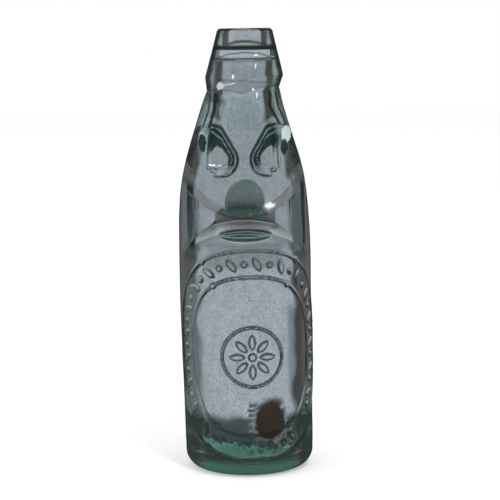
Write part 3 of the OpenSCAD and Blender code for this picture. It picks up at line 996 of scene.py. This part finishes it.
    # Painted shadow beside the plate, painted light down the other side and painted highlights on
    # the embossing; base, from the grey zone with its teal brightened by painted light, a painted
    # dark line along the plate and painted shade at the corners, down to the green foot; and the
    # stain
    lay(outer * between(x, 20.5, 27.0, 2.5) * between(z, 38, 84, 8), BODY_SHADOW)
    lay(outer * between(x, -29.5, -22.0, 3) * between(z, 30, 98, 12), BODY_PAINTED_LIGHT)
    jagged = np.interp(x, (-21, 2, 20), (19.0, 16.4, 14.4)) + 1.0 * fine + 0.5 * waver
    rim = oval_distance(BODY_R * angle - PLATE_X, z - PLATE_Z, OUTER_OVAL)
    fall = embossing(BODY_R * angle, z - 0.5) - embossing(BODY_R * angle, z + 0.5)
    toward_side = 0.2 + 0.8 * smooth_step((across - 14) / 8)
    lay(outer * (z < EMBOSSED_TO) * smooth_step(fall / 0.4) * toward_side, RELIEF_HIGHLIGHT)
    lay(outer * between(z, 4.0, 30.5 + waver, 5.0), BASE_GREY)
    mottled = 0.95 - 0.8 * smooth_step((x + 8) / 8) * smooth_step(0.1 + 0.9 * fine)
    lay(outer * (z < jagged) * between(z, 9.0, 21.0, 0.6) * (rim < -0.6) * mottled, BASE_TEAL_LIGHT)
    lay(outer * between(rim, -1.9, -0.7) * (z < 17), FAINT_SHADE)
    lay(outer * smooth_step((9.6 - z) / 3.4), BASE_GREEN)
    lay(outer * smooth_step((across - 20) / 7) * smooth_step((24 - z) / 8), CORNER_SHADE)
    spot = blob(x + 1.4 * waver + 0.8 * fine, z + 1.2 * waver, (10.4, 28.6), (6.4, 8.4), 0.5)
    streaks = blob(x, z, (16.5, 20.5), (4.0, 4.0), 0.5) * smooth_step(np.sin(3.2 * x + z) + 0.4)
    feather = between(x + 0.5 * fine, 0.0, 4.4) * between(z, 23.5, 38.5, 1.5)
    lay(outer * np.maximum(streaks, feather * smooth_step(np.sin(2.6 * z) + 1.1)), STAIN_EDGE)
    lay(outer * spot, STAIN)
    return result


# How far the bottle's middle line wanders from the straight axis, as (height, shift along X)
BEND = [
    (0, 0.7), (16, 0.65), (35, 0.45), (60, 0.1), (85, -0.2), (110, -0.3), (125, -0.45),
    (137, -0.6), (172, -0.6), (184, -0.5), (189, -0.2), (194, 0.4), (200, 0.75), (207, 1.0),
    (214, 1.1), (220, 1.15),
]


def bend(verts):
    """Moves each height sideways by the wander of the bottle's middle line."""
    heights, shifts = zip(*BEND)
    verts = np.array(verts, float)
    fine = np.linspace(0, HEIGHT, 441)
    line = np.interp(fine, heights, shifts)
    kernel = np.hanning(17)
    line = np.convolve(np.pad(line, 8, mode="edge"), kernel / kernel.sum(), "valid")
    verts[..., 0] += np.interp(verts[..., 2], fine, line)
    return verts


def build_glass():
    rings, flags, steep = build_shell()
    verts, faces = closed_rings(
        rings, (0, 0, PUSH_UP_H), (0, 0, FLOOR_Z + PUSH_UP_H)
    )
    obj = make_mesh("bottle_glass", bend(verts) * MM, faces)
    inner = obj.data.attributes.new("inner", "FLOAT", "POINT")
    inner.data.foreach_set(
        "value", np.concatenate([flags.ravel(), [0.0, 1.0]]).astype(np.float32)
    )
    shade_share = obj.data.attributes.new("shade_share", "FLOAT", "POINT")
    shade_share.data.foreach_set(
        "value", np.concatenate([steep.ravel(), [0.0, 0.0]]).astype(np.float32)
    )
    thick = obj.data.attributes.new("thick", "FLOAT", "POINT")
    thick.data.foreach_set("value", thick_share(verts).astype(np.float32))
    inner_share = np.concatenate([flags.ravel(), [0.0, 1.0]])
    mark = obj.data.attributes.new("mark", "FLOAT_COLOR", "POINT")
    mark.data.foreach_set("color", marks(verts, inner_share).ravel().astype(np.float32))
    clear = obj.data.attributes.new("clear", "FLOAT", "POINT")
    clear.data.foreach_set("value", clear_share(verts).astype(np.float32))
    return obj


def ball(name, centre, radius, rings=48, cols=96):
    a = np.linspace(0, math.pi, rings + 1)[1:-1]
    b = np.linspace(0, 2 * math.pi, cols, endpoint=False)
    grid = np.stack(
        [
            np.sin(a)[:, None] * np.cos(b)[None],
            np.sin(a)[:, None] * np.sin(b)[None],
            -np.cos(a)[:, None] * np.ones_like(b)[None],
        ],
        -1,
    )
    verts, faces = closed_rings(grid * radius, (0, 0, -radius), (0, 0, radius))
    return make_mesh(name, (verts + np.array(centre)) * MM, faces)


class Nodes:
    """A short way to write a node tree."""

    def __init__(self, material):
        material.use_nodes = True
        self.tree = material.node_tree
        self.tree.nodes.clear()

    def add(self, kind, **values):
        node = self.tree.nodes.new(kind)
        for key, value in values.items():
            if hasattr(node, key):
                setattr(node, key, value)
            else:
                node.inputs[key.replace("_", " ")].default_value = value
        return node

    def link(self, out, into):
        self.tree.links.new(out, into)


# Where glass gets painted shade, as (facing, share) from head on at 0 to edge on at 1. Light that
# meets a surface of the bottle at a slant is bent or thrown aside and no longer shows the backdrop;
# a dark diffuse stands in for it.
RIM_DARK = [(0.0, 0.0), (0.28, 0.0), (0.45, 0.22), (0.60, 0.50), (0.76, 0.72), (0.88, 1.0)]
THICK_RIM_DARK = [(0.0, 0.0), (0.40, 0.0), (0.56, 0.95), (0.75, 1.0), (1.0, 1.0)]
INNER_FROM_GLASS_DARK = [
    (0.0, 0.0), (0.17, 0.0), (0.21, 0.98), (0.34, 0.98), (0.46, 0.3), (0.6, 0.05), (1.0, 0.05)
]
# How much painted shade the steep sides of the embossing and the dark ring in the mouth get
PAINTED_SHADE_STRENGTH = 0.95
# Dust, pits and haze on the outside, over the strength of their noise
DUST = [(0.0, 0.0), (0.54, 0.0), (0.68, 0.45), (1.0, 0.6)]
HAZE = [(0.0, 0.0), (0.40, 0.0), (0.70, 0.14), (1.0, 0.14)]
# Painted light and shade of the marble over its height: darkest just below the middle, brightest at
# the top
MARBLE_PAINTED_SHADING = [(0.0, 0.3), (0.42, 0.12), (0.48, 0.2), (0.60, 0.75), (0.75, 1.0)]
# How much of the inside's painted shade stays on upright and on level surfaces, and the inside's
# painted shade seen from the air
UPRIGHT = [(0.0, 1.0), (0.40, 1.0), (0.60, 0.0), (1.0, 0.0)]
INNER_FROM_AIR_DARK = [(0.0, 0.0), (0.55, 0.0), (0.8, 0.8), (1.0, 0.9)]


def curve_of(n, socket, stops):
    """The value that a broken line through the stops gives for a socket between 0 and 1."""
    ramp = n.add("ShaderNodeValToRGB")
    elements = ramp.color_ramp.elements
    while len(elements) < len(stops):
        elements.new(0.5)
    for element, (place, value) in zip(elements, stops):
        element.position = place
        element.color = (value, value, value, 1)
    n.link(socket, ramp.inputs[0])
    return ramp.outputs[0]


def blend_of(n, factor, a, b):
    mix = n.add("ShaderNodeMix", data_type="FLOAT")
    if isinstance(factor, float):
        mix.inputs["Factor"].default_value = factor
    else:
        n.link(factor, mix.inputs["Factor"])
    for value, name in ((a, "A"), (b, "B")):
        if isinstance(value, float):
            mix.inputs[name].default_value = value
        else:
            n.link(value, mix.inputs[name])
    return mix.outputs[0]


def bottle_material():
    material = bpy.data.materials.new("aqua_glass")
    n = Nodes(material)
    out = n.add("ShaderNodeOutputMaterial")
    glass = n.add("ShaderNodeBsdfPrincipled")
    glass.inputs["Base Color"].default_value = (0.712, 0.703, 0.760, 1)
    glass.inputs["Roughness"].default_value = 0.0
    glass.inputs["IOR"].default_value = 1.5
    glass.inputs["Transmission Weight"].default_value = 1.0
    absorb = n.add("ShaderNodeVolumeAbsorption")
    absorb.inputs["Color"].default_value = (0.30, 0.56, 0.52, 1)
    absorb.inputs["Density"].default_value = 60.0
    n.link(absorb.outputs[0], out.inputs["Volume"])

    facing = n.add("ShaderNodeLayerWeight", Blend=0.5).outputs["Facing"]
    back = n.add("ShaderNodeNewGeometry").outputs["Backfacing"]
    inner = n.add("ShaderNodeAttribute", attribute_name="inner").outputs["Fac"]
    thick = n.add("ShaderNodeAttribute", attribute_name="thick").outputs["Fac"]
    rim = blend_of(n, thick, curve_of(n, facing, RIM_DARK), curve_of(n, facing, THICK_RIM_DARK))
    outer_dark = blend_of(n, back, rim, 0.0)
    inner_dark = blend_of(
        n,
        back,
        curve_of(n, facing, INNER_FROM_AIR_DARK),
        curve_of(n, facing, INNER_FROM_GLASS_DARK),
    )
    slant = n.add("ShaderNodeSeparateXYZ")
    n.link(n.add("ShaderNodeNewGeometry").outputs["Normal"], slant.inputs[0])
    level = n.add("ShaderNodeMath", operation="ABSOLUTE")
    n.link(slant.outputs["Z"], level.inputs[0])
    upright = curve_of(n, level.outputs[0], UPRIGHT)
    upright_dark = n.add("ShaderNodeMath", operation="MULTIPLY")
    n.link(upright, upright_dark.inputs[0])
    n.link(inner_dark, upright_dark.inputs[1])
    clear = n.add("ShaderNodeAttribute", attribute_name="clear").outputs["Fac"]
    dark = blend_of(n, inner, outer_dark, upright_dark.outputs[0])
    dark = blend_of(n, clear, dark, 0.0)
    shade_share = n.add("ShaderNodeMath", operation="MULTIPLY")
    n.link(n.add("ShaderNodeAttribute", attribute_name="shade_share").outputs["Fac"], shade_share.inputs[0])
    shade_share.inputs[1].default_value = PAINTED_SHADE_STRENGTH
    darker = n.add("ShaderNodeMath", operation="MAXIMUM")
    n.link(dark, darker.inputs[0])
    n.link(shade_share.outputs[0], darker.inputs[1])
    dark = darker.outputs[0]
    # Painted shade: a dark diffuse mixed into the glass at slants, on steep sides and in the
    # mouth's dark ring
    shade = n.add("ShaderNodeBsdfDiffuse")
    shade.inputs["Color"].default_value = (0.014, 0.022, 0.022, 1)
    both = n.add("ShaderNodeMixShader")
    n.link(dark, both.inputs[0])
    n.link(glass.outputs[0], both.inputs[1])
    n.link(shade.outputs[0], both.inputs[2])
    place = n.add("ShaderNodeTexCoord").outputs["Object"]
    clean = both.outputs[0]
    for scale, stops, colour in (
        (1500.0, DUST, (0.03, 0.035, 0.033, 1)),
        (170.0, HAZE, (0.20, 0.20, 0.18, 1)),
    ):
        noise = n.add("ShaderNodeTexNoise", Scale=scale, Detail=3.0, Roughness=0.6)
        n.link(place, noise.inputs["Vector"])
        cover = blend_of(n, inner, curve_of(n, noise.outputs["Fac"], stops), 0.0)
        dirt = n.add("ShaderNodeBsdfDiffuse", Color=colour)
        dirty = n.add("ShaderNodeMixShader")
        n.link(cover, dirty.inputs[0])
        n.link(clean, dirty.inputs[1])
        n.link(dirt.outputs[0], dirty.inputs[2])
        clean = dirty.outputs[0]
    # Painted light, painted shade, painted images of the marble and the stain, laid over all as a
    # diffuse colour
    mark = n.add("ShaderNodeAttribute", attribute_name="mark")
    paint = n.add("ShaderNodeBsdfDiffuse")
    n.link(mark.outputs["Color"], paint.inputs["Color"])
    marked = n.add("ShaderNodeMixShader")
    n.link(mark.outputs["Alpha"], marked.inputs[0])
    n.link(clean, marked.inputs[1])
    n.link(paint.outputs[0], marked.inputs[2])
    n.link(marked.outputs[0], out.inputs["Surface"])
    return material


def marble_material():
    """Cloudy green glass: pale grains over darker green, with painted shade below the middle and
    painted light at the top.
    """
    material = bpy.data.materials.new("green_marble")
    n = Nodes(material)
    out = n.add("ShaderNodeOutputMaterial")
    place = n.add("ShaderNodeTexCoord").outputs["Object"]
    grain = n.add("ShaderNodeTexNoise", Scale=900.0, Detail=4.0, Roughness=0.6)
    cloud = n.add("ShaderNodeTexNoise", Scale=160.0, Detail=3.0, Roughness=0.5)
    for texture in (grain, cloud):
        n.link(place, texture.inputs["Vector"])
    colour = n.add("ShaderNodeValToRGB")
    colour.color_ramp.elements[0].position = 0.36
    colour.color_ramp.elements[0].color = (0.26, 0.86, 0.60, 1)
    colour.color_ramp.elements[1].position = 0.64
    colour.color_ramp.elements[1].color = (0.72, 1.0, 0.90, 1)
    speck = blend_of(n, 0.45, grain.outputs["Fac"], cloud.outputs["Fac"])
    n.link(speck, colour.inputs[0])
    split = n.add("ShaderNodeSeparateXYZ")
    n.link(place, split.inputs[0])
    height = n.add("ShaderNodeMapRange")
    height.inputs["From Min"].default_value = MARBLE_Z * MM - MARBLE_R * MM
    height.inputs["From Max"].default_value = MARBLE_Z * MM + MARBLE_R * MM
    n.link(split.outputs["Z"], height.inputs["Value"])
    # Painted light and shade over the marble's height
    light = curve_of(n, height.outputs[0], MARBLE_PAINTED_SHADING)
    lit_and_shaded = n.add("ShaderNodeMix", data_type="RGBA", blend_type="MULTIPLY")
    lit_and_shaded.inputs["Factor"].default_value = 1.0
    n.link(colour.outputs[0], lit_and_shaded.inputs["A"])
    n.link(light, lit_and_shaded.inputs["B"])
    glass = n.add("ShaderNodeBsdfPrincipled")
    n.link(lit_and_shaded.outputs["Result"], glass.inputs["Base Color"])
    glass.inputs["Roughness"].default_value = 0.3
    glass.inputs["IOR"].default_value = 1.5
    n.link(glass.outputs[0], out.inputs["Surface"])
    return material


def ring_material():
    material = bpy.data.materials.new("aged_rubber")
    n = Nodes(material)
    out = n.add("ShaderNodeOutputMaterial")
    rubber = n.add("ShaderNodeBsdfPrincipled")
    rubber.inputs["Base Color"].default_value = (0.78, 0.82, 0.85, 1)
    rubber.inputs["Roughness"].default_value = 0.6
    n.link(rubber.outputs[0], out.inputs["Surface"])
    return material


# Camera: the photograph's place and lens, taken from how the outline narrows
CAMERA_DISTANCE = 0.880
CAMERA_HEIGHT = 0.2308
CAMERA_PITCH = 7.85
CAMERA_ROLL = -0.80
FOCAL_PIXELS = 1768.8
IMAGE_PIXELS = 500
CAMERA_X = 0.0023


def make_camera():
    camera = bpy.data.cameras.new("camera")
    camera.sensor_width = 36.0
    camera.lens = FOCAL_PIXELS * camera.sensor_width / IMAGE_PIXELS
    camera.clip_start = 0.05
    camera.clip_end = 20
    obj = bpy.data.objects.new("camera", camera)
    bpy.context.scene.collection.objects.link(obj)
    obj.location = (CAMERA_X, -CAMERA_DISTANCE, CAMERA_HEIGHT)
    obj.rotation_mode = "XYZ"
    obj.rotation_euler = (math.radians(90 - CAMERA_PITCH), 0, 0)
    bpy.context.view_layer.update()
    obj.rotation_euler.rotate_axis("Z", math.radians(CAMERA_ROLL))
    bpy.context.scene.camera = obj
    return obj


def make_floor():
    size = 3.0
    verts = np.array([[-size, -size, 0], [size, -size, 0], [size, size, 0], [-size, size, 0]])
    floor = make_mesh("floor", verts, [(0, 1, 2, 3)], smooth=False)
    material = bpy.data.materials.new("floor_white")
    n = Nodes(material)
    out = n.add("ShaderNodeOutputMaterial")
    plain = n.add("ShaderNodeBsdfDiffuse")
    plain.inputs["Color"].default_value = (0.9, 0.9, 0.9, 1)
    glow = n.add("ShaderNodeEmission")
    glow.inputs["Strength"].default_value = 0.35
    both = n.add("ShaderNodeAddShader")
    n.link(plain.outputs[0], both.inputs[0])
    n.link(glow.outputs[0], both.inputs[1])
    n.link(both.outputs[0], out.inputs["Surface"])
    floor.data.materials.append(material)


# How bright the studio is in the glass, from level at 0 up to straight overhead at 1
STUDIO = [(0.0, 1.0), (0.38, 1.0), (0.72, 0.16), (1.0, 0.10)]


def make_world():
    world = bpy.data.worlds.new("studio")
    bpy.context.scene.world = world
    n = Nodes(world)
    out = n.add("ShaderNodeOutputWorld")
    path = n.add("ShaderNodeLightPath")
    place = n.add("ShaderNodeTexCoord")
    split = n.add("ShaderNodeSeparateXYZ")
    n.link(place.outputs["Generated"], split.inputs[0])
    studio = curve_of(n, split.outputs["Z"], STUDIO)
    white = n.add("ShaderNodeBackground")
    white.inputs["Color"].default_value = (1, 1, 1, 1)
    seen = n.add("ShaderNodeBackground")
    n.link(studio, seen.inputs["Color"])
    light = n.add("ShaderNodeBackground")
    light.inputs["Color"].default_value = (1, 1, 1, 1)
    light.inputs["Strength"].default_value = 0.7
    in_glass = n.add("ShaderNodeMath", operation="MAXIMUM")
    n.link(path.outputs["Is Transmission Ray"], in_glass.inputs[0])
    n.link(path.outputs["Is Glossy Ray"], in_glass.inputs[1])
    first = n.add("ShaderNodeMixShader")
    n.link(in_glass.outputs[0], first.inputs[0])
    n.link(light.outputs[0], first.inputs[1])
    n.link(seen.outputs[0], first.inputs[2])
    both = n.add("ShaderNodeMixShader")
    n.link(path.outputs["Is Camera Ray"], both.inputs[0])
    n.link(first.outputs[0], both.inputs[1])
    n.link(white.outputs[0], both.inputs[2])
    n.link(both.outputs[0], out.inputs["Surface"])


def area_light(name, place, target, size, watts):
    light = bpy.data.lights.new(name, "AREA")
    light.shape = "RECTANGLE"
    light.size, light.size_y = size
    light.energy = watts
    obj = bpy.data.objects.new(name, light)
    bpy.context.scene.collection.objects.link(obj)
    from mathutils import Vector

    obj.location = place
    aim = Vector(target) - Vector(place)
    obj.rotation_euler = aim.to_track_quat("-Z", "Y").to_euler()
    obj.visible_transmission = False
    return obj


glass = build_glass()
glass.data.materials.append(bottle_material())
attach(glass, "bottle")
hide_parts("bottle_body", "applied_lip")

marble = ball("marble_ball", (0, 0, MARBLE_Z), MARBLE_R)
marble.data.materials.append(marble_material())
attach(marble, "marble")
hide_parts("marble")

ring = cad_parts["sealing_ring"]
ring.data.materials.clear()
ring.data.materials.append(ring_material())

make_floor()
make_world()
area_light("key", (0.35, -0.75, 1.2), (0, 0, 0.12), (0.12, 0.12), 4)
area_light("fill", (-1.2, -0.6, 1.2), (0, 0, 0.12), (1.2, 1.2), 4)
make_camera()

scene = bpy.context.scene
scene.view_settings.view_transform = "Standard"
scene.cycles.max_bounces = 32
scene.cycles.transmission_bounces = 32
scene.cycles.glossy_bounces = 16
